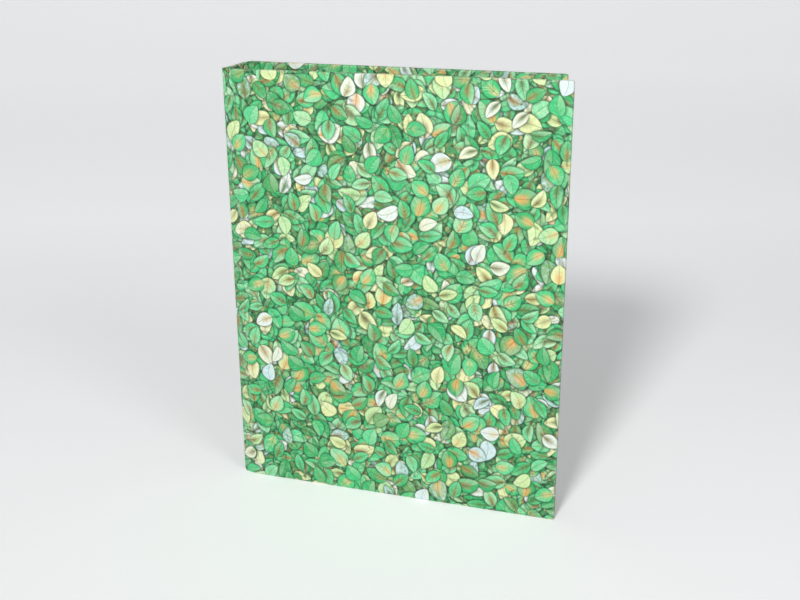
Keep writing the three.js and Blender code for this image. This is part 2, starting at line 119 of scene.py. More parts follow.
def add_camera():
    data = bpy.data.cameras.new("camera")
    data.sensor_width = SENSOR_WIDTH
    data.lens = FOCAL_PIXELS * data.sensor_width / PHOTO_WIDTH
    data.clip_start = 0.01
    camera = bpy.data.objects.new("camera", data)
    camera.location = CAMERA_PLACE
    camera.rotation_euler = [math.radians(angle) for angle in CAMERA_TURN]
    bpy.context.scene.collection.objects.link(camera)
    bpy.context.scene.camera = camera


class Socket:
    """A shader value. Operators on it add Math nodes to its tree."""

    def __init__(self, tree, output):
        self.tree = tree
        self.output = output

    def math(self, operation, *others):
        return self.tree.node(
            "ShaderNodeMath", {"operation": operation}, dict(enumerate((self, *others))))

    def __add__(self, other): return self.math("ADD", other)
    def __radd__(self, other): return self.math("ADD", other)
    def __sub__(self, other): return self.math("SUBTRACT", other)
    def __mul__(self, other): return self.math("MULTIPLY", other)
    def __rmul__(self, other): return self.math("MULTIPLY", other)
    def __truediv__(self, other): return self.math("DIVIDE", other)
    def __pow__(self, other): return self.math("POWER", other)

    def __rsub__(self, other):
        return self.tree.node("ShaderNodeMath", {"operation": "SUBTRACT"}, {0: other, 1: self})

    def absolute(self):
        return self.math("ABSOLUTE")

    def smooth(self, low, high):
        """Eases from 0 to 1 as the value goes from low to high."""
        return self.tree.node(
            "ShaderNodeMapRange", {"interpolation_type": "SMOOTHSTEP"},
            {"Value": self, "From Min": low, "From Max": high},
        )


class Finish:
    """A material's node tree, with one method for every kind of node."""

    def __init__(self, name, **shader_values):
        self.material = bpy.data.materials.new(name)
        self.material.use_nodes = True
        self.nodes = self.material.node_tree.nodes
        self.links = self.material.node_tree.links
        self.shader = self.nodes["Principled BSDF"]
        for socket, value in shader_values.items():
            self.shader.inputs[socket.replace("_", " ")].default_value = value

    def node(self, kind, settings=None, inputs=None, output=0):
        node = self.nodes.new(kind)
        for name, value in (settings or {}).items():
            setattr(node, name, value)
        for name, value in (inputs or {}).items():
            self.feed(node.inputs[name], value)
        return Socket(self, node.outputs[output])

    def feed(self, socket, value):
        if isinstance(value, Socket):
            self.links.new(value.output, socket)
        else:
            socket.default_value = value

    def outputs(self, socket, *names):
        node = socket.output.node
        return [Socket(self, node.outputs[name]) for name in names]

    def mix(self, factor, under, over, blend="MIX"):
        """Two colours mixed by a factor."""
        node = self.nodes.new("ShaderNodeMix")
        node.data_type = "RGBA"
        node.blend_type = blend
        self.feed(node.inputs[0], factor)
        self.feed(node.inputs[6], under)
        self.feed(node.inputs[7], over)
        return Socket(self, node.outputs[2])

    def vector(self, operation, first, second=None, output=0):
        inputs = {0: first}
        if second is not None:
            inputs[1] = second
        return self.node("ShaderNodeVectorMath", {"operation": operation}, inputs, output)

    def scaled(self, vector, factor):
        return self.node(
            "ShaderNodeVectorMath", {"operation": "SCALE"}, {0: vector, "Scale": factor})

    def turned(self, vector, angle):
        return self.node(
            "ShaderNodeVectorRotate", {"rotation_type": "Z_AXIS"},
            {"Vector": vector, "Angle": angle},
        )

    def ramp(self, value, stops):
        """A colour picked by a value, from stops of a place and a colour."""
        node = self.nodes.new("ShaderNodeValToRGB")
        elements = node.color_ramp.elements
        while len(elements) < len(stops):
            elements.new(0.5)
        for element, (place, colour) in zip(elements, stops):
            element.position = place
            element.color = (*colour, 1)
        self.feed(node.inputs[0], value)
        return Socket(self, node.outputs[0])

    def combined(self, x, y, z):
        return self.node("ShaderNodeCombineXYZ", None, {"X": x, "Y": y, "Z": z})

    def chances(self, cell, salt):
        """Three random numbers that are the same all over a cell."""
        place = self.vector("ADD", cell, (0.0, 0.0, salt))
        draw = self.node(
            "ShaderNodeTexWhiteNoise", {"noise_dimensions": "3D"}, {"Vector": place}, "Color")
        split = self.node("ShaderNodeSeparateColor", None, {"Color": draw})
        return self.outputs(split, "Red", "Green", "Blue")

    def noise(self, vector, scale, detail=2.0, roughness=0.5):
        return self.node(
            "ShaderNodeTexNoise", None,
            {"Vector": vector, "Scale": scale, "Detail": detail, "Roughness": roughness},
        )

    def coordinates(self, output="Object"):
        return self.node("ShaderNodeTexCoord", None, None, output)

    def paint(self, **values):
        for name, value in values.items():
            self.feed(self.shader.inputs[name.replace("_", " ")], value)

    def bump(self, height, distance, strength):
        normal = self.node(
            "ShaderNodeBump", None, {"Height": height, "Distance": distance, "Strength": strength},
        )
        self.feed(self.shader.inputs["Normal"], normal)


def colour(hex_digits):
    """A linear colour from the six digits of a screen colour."""
    channels = [int(hex_digits[i:i + 2], 16) / 255 for i in (0, 2, 4)]
    return tuple(c / 12.92 if c <= 0.04045 else ((c + 0.055) / 1.055) ** 2.4 for c in channels)


# Printed paper: scattered leaves, each with a midrib, side veins, a warm heart and a dark rim
LEAF_CELL = 15 * MM
LEAF_LAYERS = 9
FOLIAGE = [
    (0.00, colour("2a9452")), (0.15, colour("30b56b")), (0.33, colour("47c982")),
    (0.46, colour("24a05a")), (0.58, colour("58cd8b")), (0.67, colour("8fd6a2")),
    (0.75, colour("bfe09c")), (0.83, colour("e2e4a2")), (0.90, colour("e0e9e6")),
    (0.945, colour("bcdbe8")), (0.975, colour("64a058")),
]
HEARTS = [
    (0.00, colour("1c7a44")), (0.28, colour("6f6a35")), (0.46, colour("a9763a")),
    (0.60, colour("53573d")), (0.74, colour("d9c987")), (0.88, colour("e09a4e")),
]
GROUND = [
    (0.30, colour("22432f")), (0.45, colour("3a8a55")), (0.55, colour("6c7a44")),
    (0.66, colour("cfe2a9")),
]
RIM = (*colour("143a24"), 1)
VEIN = (*colour("1c4a30"), 1)
PALE = (*colour("e6eed0"), 1)
SHADE = (*colour("2a4a38"), 1)
INK_GRAIN = (*colour("f4f6ea"), 1)
WORN = (*colour("dfe6cf"), 1)

# How the layers of leaves are laid: their cells' sizes, turns and shifts
LEAST_CELL = 0.84
CELL_STEP = 0.07
LAYER_TURN = 0.7
FIRST_TURN = 0.2
LAYER_SHIFT = (0.37, 0.61)

# One leaf, measured in cells
LEAF_MARGIN = 0.37
LEAF_WANDER = 0.26
LEAF_REACH = 0.37
LEAF_WIDTH = 0.2
LEAF_SPREAD = 0.13
LEAF_TAPER = 0.22
LEAF_BEND = 1.6
SIDE_VEINS = 9.0
VEIN_LEAN = 0.85
MIDRIB = 0.014
RIM_WIDTH = 0.045
SHADOW_REACH = 0.10


def leaf_layer(finish, sheet, layer):
    """One layer of leaves, one to a cell: its mask, its shadow and its colour."""
    turn = 2 * math.pi
    size = LEAF_CELL * (LEAST_CELL + CELL_STEP * (2 * layer % 5))
    turned = finish.turned(finish.scaled(sheet, 1 / size), LAYER_TURN * layer + FIRST_TURN)
    place = finish.vector("ADD", turned, (LAYER_SHIFT[0] * layer, LAYER_SHIFT[1] * layer, 0.0))
    cell = finish.vector("FLOOR", place)
    right, up, heading = finish.chances(cell, 7.3 * layer + 1.5)
    hue, girth, curve = finish.chances(cell, 7.3 * layer + 4.5)
    middle = finish.combined(LEAF_MARGIN + right * LEAF_WANDER, LEAF_MARGIN + up * LEAF_WANDER, 0.0)
    from_middle = finish.vector("SUBTRACT", finish.vector("FRACTION", place), middle)
    spun = finish.turned(from_middle, heading * turn)
    parts = finish.node("ShaderNodeSeparateXYZ", None, {"Vector": spun}, 0)
    x, y = finish.outputs(parts, "X", "Y")
    # The leaf lies along y, bent a little, and is widest below its middle.
    grain = finish.noise(turned, scale=9.0, detail=4.0, roughness=0.6)
    bent = x - (y * y) * (curve - 0.5) * LEAF_BEND
    along = y / LEAF_REACH
    half = bent.absolute()
    swell = (1.0 - along * along).math("MAXIMUM", 0.0) ** 0.6
    width = swell * (1.0 - along * LEAF_TAPER) * (LEAF_WIDTH + girth * LEAF_SPREAD)
    edge = width - half + (grain - 0.5) * 0.035
    inside = edge.smooth(-0.004, 0.008)
    shadow = edge.smooth(-SHADOW_REACH, 0.01)
    # Side veins leave the midrib and lean towards the tip.
    lean = y - half * VEIN_LEAN
    ribs = (lean * (SIDE_VEINS * turn) + grain * 3.0).math("SINE").absolute()
    strokes = finish.combined(lean * 60.0, half * 5.0, hue * 50.0)
    hatch = finish.noise(strokes, scale=1.0, detail=2.0, roughness=0.6)
    share = half / (width + 0.001)
    pick = (hue + (hatch - 0.5) * 0.12 + (grain - 0.5) * 0.12).math("FRACT")
    body = finish.ramp(pick, FOLIAGE)
    lit = (bent.smooth(-0.02, 0.02) - 0.5) * (curve - 0.4)
    body = finish.mix((lit * 0.9 + along * 0.12).math("MAXIMUM", 0.0), body, PALE)
    heart = finish.ramp(girth * 0.8 + (hatch - 0.5) * 0.5 + 0.1, HEARTS)
    warm = share.smooth(0.72, 0.05) * along.smooth(0.7, -0.4)
    warm = warm * (curve + hatch - 0.5).smooth(0.15, 0.5)
    painted = finish.mix(warm * 0.9, body, heart)
    painted = finish.mix(ribs.smooth(0.45, 0.05) * (0.35 + 0.4 * hatch), painted, VEIN)
    painted = finish.mix(hatch.smooth(0.58, 0.72) * 0.45, painted, PALE)
    painted = finish.mix(hatch.smooth(0.44, 0.30) * 0.55, painted, VEIN)
    painted = finish.mix(half.smooth(MIDRIB, 0.005) * 0.55, painted, RIM)
    painted = finish.mix(edge.smooth(RIM_WIDTH, 0.004) * 0.9, painted, RIM)
    return inside, shadow, painted


# How deep each surface's grain is, and how fine the plate's brushing is on each axis
PAPER_GRAIN = 0.05 * MM
BOARD_GRAIN = 0.1 * MM
BRUSH_DEPTH = 0.01 * MM
BRUSHING = (5200, 5200, 260)


def printed_paper():
    finish = Finish("printed_paper", Roughness=0.5, Specular_IOR_Level=0.42,
                    Sheen_Weight=0.06, Sheen_Roughness=0.5)
    sheet = finish.coordinates("UV")
    painted = finish.ramp(finish.noise(sheet, scale=260.0, detail=4.0, roughness=0.65), GROUND)
    for layer in range(LEAF_LAYERS):
        inside, shadow, leaf = leaf_layer(finish, sheet, layer)
        painted = finish.mix(shadow * 0.55, painted, SHADE, "MULTIPLY")
        painted = finish.mix(inside, painted, leaf)
    grain = finish.noise(sheet, scale=1500.0, detail=3.0, roughness=0.6)
    speck = finish.noise(sheet, scale=620.0, detail=4.0, roughness=0.7)
    painted = finish.mix((speck - 0.5) * 0.9 + 0.25, painted, INK_GRAIN, "SOFT_LIGHT")
    # Handling has rubbed the rounded edges paler and duller.
    rubbed = finish.node("ShaderNodeAttribute", {"attribute_name": "rubbed"}, None, "Fac")
    scuffs = rubbed * finish.noise(sheet, scale=330.0, detail=4.0, roughness=0.7).smooth(0.46, 0.66)
    painted = finish.mix(scuffs * 0.5, painted, WORN)
    finish.paint(Base_Color=painted, Roughness=0.44 + grain * 0.2 + scuffs * 0.2)
    finish.bump(speck * 0.6 + grain * 0.4, PAPER_GRAIN, 0.35)
    return finish.material


def lining_paper():
    finish = Finish("lining_paper", Roughness=0.85, Specular_IOR_Level=0.25)
    place = finish.coordinates()
    fibre = finish.noise(place, scale=2400.0, detail=3.0, roughness=0.6)
    cloud = finish.noise(place, scale=90.0, detail=3.0)
    painted = finish.mix(
        cloud.smooth(0.3, 0.7), (*colour("e9e2cd"), 1), (*colour("f0ebdb"), 1))
    painted = finish.mix(fibre.smooth(0.62, 0.74) * 0.35, painted, (*colour("cfc4a4"), 1))
    finish.paint(Base_Color=painted, Roughness=0.8 + fibre * 0.15)
    finish.bump(fibre, PAPER_GRAIN, 0.5)
    return finish.material


def greyboard():
    finish = Finish("greyboard", Roughness=0.95, Specular_IOR_Level=0.2)
    place = finish.coordinates()
    fibre = finish.noise(place, scale=1700.0, detail=4.0, roughness=0.7)
    painted = finish.mix(fibre.smooth(0.35, 0.7), (*colour("847e72"), 1), (*colour("a39c8d"), 1))
    finish.paint(Base_Color=painted)
    finish.bump(fibre, BOARD_GRAIN, 0.6)
    return finish.material


def nickel_plate():
    finish = Finish("nickel_plate", Metallic=1.0, Roughness=0.24)
    place = finish.coordinates()
    haze = finish.noise(place, scale=140.0, detail=4.0, roughness=0.6)
    brush = finish.noise(finish.vector("MULTIPLY", place, BRUSHING), scale=1.0, detail=2.0)
    painted = finish.mix(haze.smooth(0.3, 0.75), (*colour("d3d2cd"), 1), (*colour("c2c2c0"), 1))
    finish.paint(Base_Color=painted, Roughness=0.2 + haze * 0.1 + brush * 0.08)
    finish.bump(brush, BRUSH_DEPTH, 0.3)
    return finish.material


FINISHES = {
    "printed_paper": printed_paper(),
    "lining_paper": lining_paper(),
    "greyboard": greyboard(),
    "nickel_steel": nickel_plate(),
}


def dress_nodes():
    """Gives each CAD node the finish of its slot."""
    for subpart in frame["record"]["subparts"]:
        mesh = frame["nodes"][subpart["node"]].data
        mesh.materials.clear()
        mesh.materials.append(FINISHES[subpart["material_slot"]])


# Case papers
class Panel:
    """A covered board in plan: its outer corner, the way along it and the way inwards."""

    def __init__(self, name, along, inwards, skin):
        points = node_points(name)[:, :2]
        along, inwards = np.array(along), np.array(inwards)

        def corner(towards):
            return points[np.argmax(points @ towards)]

        start_out = corner(-along - inwards)
        end_out = corner(along - inwards)
        start_in = corner(-along + inwards)
        self.along = (end_out - start_out) / np.linalg.norm(end_out - start_out)
        self.inwards = (start_in - start_out) / np.linalg.norm(start_in - start_out)
        self.start = start_out - self.inwards * skin
        self.length = np.linalg.norm(end_out - start_out)

    def point(self, distance, depth, height):
        plan = self.start + self.along * distance + self.inwards * depth
        return (plan[0], plan[1], height)


def rubbing(inset, limit):
    """How much an edge's rounding wears, from its inset out of the rounding's radius."""
    if inset >= limit:
        return 0.0
    share = inset / limit
    return max(0.0, min(1.0, 4 * (1 - share) * (share + 0.15)))


def rounding(radius, steps):
    """Insets, depths and arc lengths round a quarter of a circle, from flat on to edge on."""
    for i in range(steps + 1):
        angle = math.pi / 2 * i / steps
        yield radius * (1 - math.sin(angle)), radius * (1 - math.cos(angle)), radius * angle


def wrap_stations(thickness):
    """The turned-in sheet in section: its inset from the edge, depth, and reach in the flat."""
    stations = []
    for inset, depth, arc in rounding(EDGE_ROUND, EDGE_STEPS):
        stations.append((inset, depth, arc - EDGE_ROUND))
    reach = stations[-1][2] + thickness - 2 * EDGE_ROUND
    for inset, depth, arc in reversed(list(rounding(EDGE_ROUND, EDGE_STEPS))):
        flat = reach + EDGE_ROUND * math.pi / 2 - arc
        stations.append((inset, thickness - depth, flat))
    reach = stations[-1][2] + TURN_IN - EDGE_ROUND
    stations.append((TURN_IN, thickness, reach))
    stations.append((TURN_IN, thickness - PAPER, reach))
    stations.append((PAPER, thickness - PAPER, 0.0))
    stations.append((PAPER, PAPER, 0.0))
    return stations


def finished_mesh(name, points, faces, uvs, rubbed, materials, face_materials=None):
    """A mesh whose faces carry their own sheet coordinates, turned to face outwards.

    The attribute `rubbed` is 1 where handling wears the print, on the rounded edges.
    """
    mesh = bpy.data.meshes.new(name)
    mesh.from_pydata(points, [], faces)
    mesh.attributes.new("rubbed", "FLOAT", "POINT").data.foreach_set("value", rubbed)
    layer = mesh.uv_layers.new(name="sheet")
    corners = np.array([uv for face in uvs for uv in face], np.float32)
    layer.data.foreach_set("uv", corners.ravel())
    for material in materials:
        mesh.materials.append(material)
    if face_materials:
        mesh.polygons.foreach_set("material_index", face_materials)
    shell = bmesh.new()
    shell.from_mesh(mesh)
    bmesh.ops.remove_doubles(shell, verts=shell.verts, dist=1e-7)
    bmesh.ops.recalc_face_normals(shell, faces=shell.faces)
    shell.to_mesh(mesh)
    shell.free()
    mesh.shade_smooth()
    mesh.set_sharp_from_angle(angle=math.radians(SMOOTH_ANGLE))
    piece = bpy.data.objects.new(name, mesh)
    bpy.context.scene.collection.objects.link(piece)
    return piece


def wrapped_cover(name, panel, width, thickness, sheet_start, sheet_sign):
    """The sheet over a cover's outer face, turned in over its head, fore edge and tail."""
    points, faces, uvs, rubbed = [], [], [], []
    stations = wrap_stations(thickness)
    flat = []
    for inset, depth, reach in stations:
        radius = max(CORNER_ROUND - inset, LEAST_CORNER_ROUND)
        across, up = width - inset - radius, inset + radius
        loop = [((0.0, inset), (0, -1))]
        for i in range(CORNER_STEPS + 1):
            angle = -math.pi / 2 + math.pi / 2 * i / CORNER_STEPS
            way = (math.cos(angle), math.sin(angle))
            loop.append(((across + radius * way[0], up + radius * way[1]), way))
        for i in range(CORNER_STEPS + 1):
            angle = math.pi / 2 * i / CORNER_STEPS
            way = (math.cos(angle), math.sin(angle))
            loop.append(((across + radius * way[0], HEIGHT - up + radius * way[1]), way))
        loop.append(((0.0, HEIGHT - inset), (0, 1)))
        for (a, b), way in loop:
            points.append(panel.point(a, depth, b))
            at_corner = min(b, HEIGHT - b) < WORN_CORNER and a > width - WORN_CORNER
            rubbed.append((1.0 if at_corner else EDGE_WEAR) * rubbing(inset, EDGE_ROUND))
            spread = reach + inset
            flat.append((sheet_start + sheet_sign * (a + way[0] * spread), b + way[1] * spread))
    count = 2 * CORNER_STEPS + 4

    def add(*corners):
        faces.append(corners)
        uvs.append([flat[i] for i in corners])

    for row in range(len(stations) - 1):
        for i in range(count - 1):
            first = row * count + i
            add(first, first + 1, first + 1 + count, first + count)
    last = (len(stations) - 1) * count
    add(*range(count))
    add(*range(last, last + count))
    add(0, count - 1, last + count - 1, last)
    add(*[row * count for row in range(len(stations))])
    add(*[row * count + count - 1 for row in range(len(stations))])
    return finished_mesh(name, points, faces, uvs, rubbed, [FINISHES["printed_paper"]])


def swept_sheet(name, plan, section, sheet_start, materials):
    """A section of (depth, height, reach up the sheet, material), swept along a line in plan.

    The plan holds points with the way inwards at each; the sheet coordinate grows along it.
    """
    points, faces, uvs, face_materials, flat, rubbed = [], [], [], [], [], []
    along = sheet_start
    for i, (place, inwards) in enumerate(plan):
        if i:
            along += np.linalg.norm(place - plan[i - 1][0])
        for depth, height, reach, _ in section:
            spot = place + inwards * depth
            points.append((spot[0], spot[1], height))
            flat.append((along, reach))
            rubbed.append(JOINT_WEAR * rubbing(min(height, HEIGHT - height), EDGE_ROUND))
    count = len(section)
    for row in range(len(plan) - 1):
        for i in range(count):
            j = (i + 1) % count
            first, second = row * count + i, row * count + j
            corners = (first, second, second + count, first + count)
            faces.append(corners)
            uvs.append([flat[c] for c in corners])
            face_materials.append(section[i][3])
    for row in (0, len(plan) - 1):
        corners = tuple(row * count + i for i in range(count))
        faces.append(corners)
        uvs.append([flat[c] for c in corners])
        face_materials.append(0)
    return finished_mesh(name, points, faces, uvs, rubbed, materials, face_materials), along


def folded_section(thickness, edge_round, turn_in):
    """The closed section of a sheet turned in at head and tail, printed side 0, lining side 1."""
    half = []
    for inset, depth, arc in rounding(edge_round, JOINT_EDGE_STEPS):
        half.append((depth, inset, arc - edge_round))
    for inset, depth, arc in reversed(list(rounding(edge_round, JOINT_EDGE_STEPS))):
        across = thickness - 2 * edge_round
        reach = edge_round * (math.pi - 1) + across - arc
        half.append((thickness - depth, inset, reach))
    half.append((thickness, turn_in, half[-1][2] + turn_in - edge_round))
    section = []
    for depth, inset, reach in half:
        section.append((depth, inset, -reach, 0))
    section[-1] = (*section[-1][:3], 1)
    for depth, inset, reach in reversed(half):
        section.append((depth, HEIGHT - inset, HEIGHT + reach, 0))
    return section


def unit(vector):
    return vector / np.linalg.norm(vector)


def joint_line(cover_edge, corner, spine_edge, side, groove_depth):
    """The joint in plan from the cover's edge to the spine board, with the way inwards.

    It dips into a groove beside the board and rounds the spine's corner. The side is 1 where
    the inside of the case lies to the right of the line, and -1 where it lies to the left.
    """
    near = corner + unit(cover_edge - corner) * JOINT_ROUND
    far = corner + unit(spine_edge - corner) * JOINT_ROUND
    line = [cover_edge + (near - cover_edge) * (i / JOINT_STEPS) for i in range(JOINT_STEPS)]
    for i in range(JOINT_ROUND_STEPS + 1):
        t = i / JOINT_ROUND_STEPS
        line.append((1 - t) ** 2 * near + 2 * t * (1 - t) * corner + t * t * far)
    line.append(spine_edge)
    plan = []
    travelled = 0.0
    for i, place in enumerate(line):
        before, after = line[max(i - 1, 0)], line[min(i + 1, len(line) - 1)]
        way = unit(after - before)
        inwards = side * np.array([way[1], -way[0]])
        if i:
            travelled += np.linalg.norm(place - line[i - 1])
        groove = groove_depth * math.exp(-((travelled - GROOVE_PLACE) / GROOVE_WIDTH) ** 2)
        plan.append((place + inwards * groove, inwards))
    return plan


front_panel = Panel("front_board", (1, 0), (0, 1), SKIN)
back_panel = Panel("back_board", (1, 0), (0, -1), SKIN)
spine_panel = Panel("spine_board", (0, 1), (1, 0), SKIN)


def joint_bend(spine_edge, corner, panel):
    """Where a joint would start to bend and where it would move wholly with its cover."""
    end = corner + unit(panel.start - corner) * JOINT_BEND
    return {"start": (*spine_edge, 0), "end": (*end, 0)}


def case_papers():
    """The one printed sheet of the case, as the pieces that move apart when it opens."""
    width = front_panel.length + SKIN
    spine_way = spine_panel.along
    spine_end = spine_panel.start + spine_way * spine_panel.length
    front_corner = spine_panel.start - spine_way * CORNER_RUN
    back_corner = spine_end + spine_way * CORNER_RUN
    front_line = joint_line(
        front_panel.start + front_panel.along * JOINT_LAP, front_corner,
        spine_panel.start + spine_way * JOINT_LAP, 1, GROOVE_DEPTH)
    # The back joint turns in so steeply that a groove or a lap would bare the board's edge.
    back_line = joint_line(
        back_panel.start + back_panel.along * BACK_COVER_LAP, back_corner,
        spine_end - spine_way * JOINT_LAP, -1, 0.0)
    section = folded_section(JOINT_THICKNESS, JOINT_EDGE_ROUND, LINING_MARGIN)
    papers = [FINISHES["printed_paper"], FINISHES["lining_paper"]]

    cover = wrapped_cover("front_paper", front_panel, width, CASE_THICKNESS, 0.0, -1)
    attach(cover, "front_cover")
    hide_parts("front_covering")

    joint, along = swept_sheet("front_joint_paper", front_line, section, 0.0, papers)
    front_bend = joint_bend(spine_panel.start, front_corner, front_panel)
    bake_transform(joint)
    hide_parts("front_joint_strip")

    spine_line = [(spine_panel.start, spine_panel.inwards), (spine_end, spine_panel.inwards)]
    spine_section = spine_wrap_section(CASE_THICKNESS)
    spine, along = swept_sheet("spine_paper", spine_line, spine_section, along, papers[:1])
    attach(spine, "spine")
    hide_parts("spine_covering")

    joint_back, along = swept_sheet(
        "back_joint_paper", back_line[::-1], section, along, papers)
    back_bend = joint_bend(spine_end, back_corner, back_panel)
    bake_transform(joint_back)
    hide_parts("back_joint_strip")

    back = wrapped_cover("back_paper", back_panel, width, CASE_THICKNESS, along, 1)
    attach(back, "back_cover")
    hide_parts("back_covering")

    front_inside = lining_line(front_line, front_panel, spine_panel.start, spine_way)
    joint_lining("front_joint_lining", front_inside, 1)
    back_inside = lining_line(back_line, back_panel, spine_end, -spine_way)
    joint_lining("back_joint_lining", back_inside, -1)


def lining_line(joint, panel, spine_edge, spine_way):
    """Plan of the lining over a joint, from the cover's lining down, across and up again."""
    above = LINING_TOP + STRIP_RAISE
    depth = JOINT_THICKNESS + STRIP_GAP
    beside_cover = panel.start - panel.along * STRIP_CLEARANCE
    beside_spine = spine_edge - spine_way * STRIP_CLEARANCE
    side = spine_panel.inwards
    line = [
        panel.start + panel.along * STRIP_LAP + panel.inwards * above,
        beside_cover + panel.inwards * above,
        beside_cover + panel.inwards * (above + depth) / 2,
    ]
    for outside, inwards in joint:
        place = outside + inwards * depth
        from_spine = place - spine_edge
        by_cover = (place - panel.start) @ panel.along < -STRIP_CLEARANCE
        by_spine = from_spine @ spine_way < -STRIP_CLEARANCE and from_spine @ side < 3 * above
        if by_cover and by_spine:
            line.append(place)
    line.append(beside_spine + side * (above + depth) / 2)
    line.append(beside_spine + side * above)
    line.append(spine_edge + spine_way * STRIP_LAP + side * above)
    return line


def joint_lining(name, line, turn):
    """The paper over the inside of a joint, lapped onto the linings beside it."""
    plan = []
    for i, place in enumerate(line):
        way = unit(line[min(i + 1, len(line) - 1)] - line[max(i - 1, 0)])
        plan.append((place, turn * np.array([way[1], -way[0]])))
    # The print turned in at head and tail, material 1, shows past the lining, material 0.
    heights = [
        (STRIP_TRIM, 1), (LINING_MARGIN, 0), (HEIGHT - LINING_MARGIN, 1), (HEIGHT - STRIP_TRIM, 1),
    ]
    section = [(0.0, height, height, paper) for height, paper in heights]
    for i in (3, 2, 1, 0):
        height = heights[i][0]
        section.append((STRIP_THICKNESS, height, height, heights[i - 1][1]))
    papers = [FINISHES["lining_paper"], FINISHES["printed_paper"]]
    piece, _ = swept_sheet(name, plan, section, 0.0, papers)
    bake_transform(piece)


def spine_wrap_section(thickness):
    """The sheet round the spine board in section, with its own thickness."""
    half = [(depth, inset, reach) for inset, depth, reach in wrap_stations(thickness)]
    section = [(depth, inset, -reach, 0) for depth, inset, reach in half]
    for depth, inset, reach in reversed(half):
        section.append((depth, HEIGHT - inset, HEIGHT + reach, 0))
    return section


# Ring mechanism
RING_SPACING = 69.85 * MM
RING_COUNT = 3
RIVET_COUNT = 2
WELD_DISTANCE = 0.002 * MM
FLAT_ANGLE = 0.3
EASED_EDGE = 0.14 * MM
EASED_STEPS = 2
SHARP_ANGLE = 35
RING_SHARP_ANGLE = 50


class Pattern:
    """A Geometry Nodes tree with named inputs, and one method for every kind of node."""

    def __init__(self, name, **kinds):
        self.tree = bpy.data.node_groups.new(name, "GeometryNodeTree")
        self.identifiers = {}
        sockets = self.tree.interface
        sockets.new_socket("Geometry", in_out="INPUT", socket_type="NodeSocketGeometry")
        sockets.new_socket("Geometry", in_out="OUTPUT", socket_type="NodeSocketGeometry")
        for label, kind in kinds.items():
            socket = sockets.new_socket(label, in_out="INPUT", socket_type=f"NodeSocket{kind}")
            self.identifiers[label] = socket.identifier
        self.inputs = self.tree.nodes.new("NodeGroupInput")
        self.result = self.tree.nodes.new("NodeGroupOutput")

    def input(self, label):
        return self.inputs.outputs[label]

    def node(self, kind, values, output=0):
        node = self.tree.nodes.new(kind)
        for name, value in values.items():
            if isinstance(value, bpy.types.NodeSocket):
                self.tree.links.new(value, node.inputs[name])
            else:
                node.inputs[name].default_value = value
        return node.outputs[output]

    def finish(self, geometry):
        self.tree.links.new(geometry, self.result.inputs[0])


def row_pattern():
    """Repeats one shape up the mechanism, as the rings and the rivets stand."""
    pattern = Pattern("row", Shape="Object", Spacing="Float", Count="Int", Finish="Material")
    shape = pattern.node("GeometryNodeObjectInfo", {"Object": pattern.input("Shape")}, "Geometry")
    step = pattern.node("ShaderNodeCombineXYZ", {"Z": pattern.input("Spacing")})
    places = pattern.node(
        "GeometryNodeMeshLine", {"Count": pattern.input("Count"), "Offset": step})
    copies = pattern.node("GeometryNodeInstanceOnPoints", {"Points": places, "Instance": shape})
    solid = pattern.node("GeometryNodeRealizeInstances", {"Geometry": copies})
    dressed = pattern.node(
        "GeometryNodeSetMaterial", {"Geometry": solid, "Material": pattern.input("Finish")})
    pattern.finish(dressed)
    return pattern


def settle(piece):
    """Turns a piece's modifiers into plain mesh."""
    evaluated = piece.evaluated_get(bpy.context.evaluated_depsgraph_get())
    mesh = bpy.data.meshes.new_from_object(evaluated)
    piece.modifiers.clear()
    piece.data = mesh


def pressed_metal(node, name, sharp=SHARP_ANGLE):
    """The shape of a CAD node as one welded piece with eased edges."""
    mesh = frame["nodes"][node].data.copy()
    mesh.name = name
    mesh.materials.clear()
    mesh.materials.append(FINISHES["nickel_steel"])
    shell = bmesh.new()
    shell.from_mesh(mesh)
    bmesh.ops.remove_doubles(shell, verts=shell.verts, dist=WELD_DISTANCE)
    bmesh.ops.dissolve_limit(
        shell, angle_limit=math.radians(FLAT_ANGLE), verts=shell.verts, edges=shell.edges)
    shell.to_mesh(mesh)
    shell.free()
    mesh.shade_smooth()
    piece = bpy.data.objects.new(name, mesh)
    bpy.context.scene.collection.objects.link(piece)
    easing = piece.modifiers.new("eased edges", "BEVEL")
    easing.width = EASED_EDGE
    easing.segments = EASED_STEPS
    easing.limit_method = "ANGLE"
    easing.angle_limit = math.radians(sharp)
    easing.harden_normals = True
    settle(piece)
    return piece


def row_of(shape, name, spacing, count, pattern):
    """A row of copies of a shape as one plain mesh; the single shape is taken away."""
    mesh = bpy.data.meshes.new(name)
    piece = bpy.data.objects.new(name, mesh)
    bpy.context.scene.collection.objects.link(piece)
    modifier = piece.modifiers.new("row", "NODES")
    modifier.node_group = pattern.tree
    modifier[pattern.identifiers["Shape"]] = shape
    modifier[pattern.identifiers["Spacing"]] = spacing
    modifier[pattern.identifiers["Count"]] = count
    modifier[pattern.identifiers["Finish"]] = FINISHES["nickel_steel"]
    settle(piece)
    bpy.data.objects.remove(shape)
    return piece


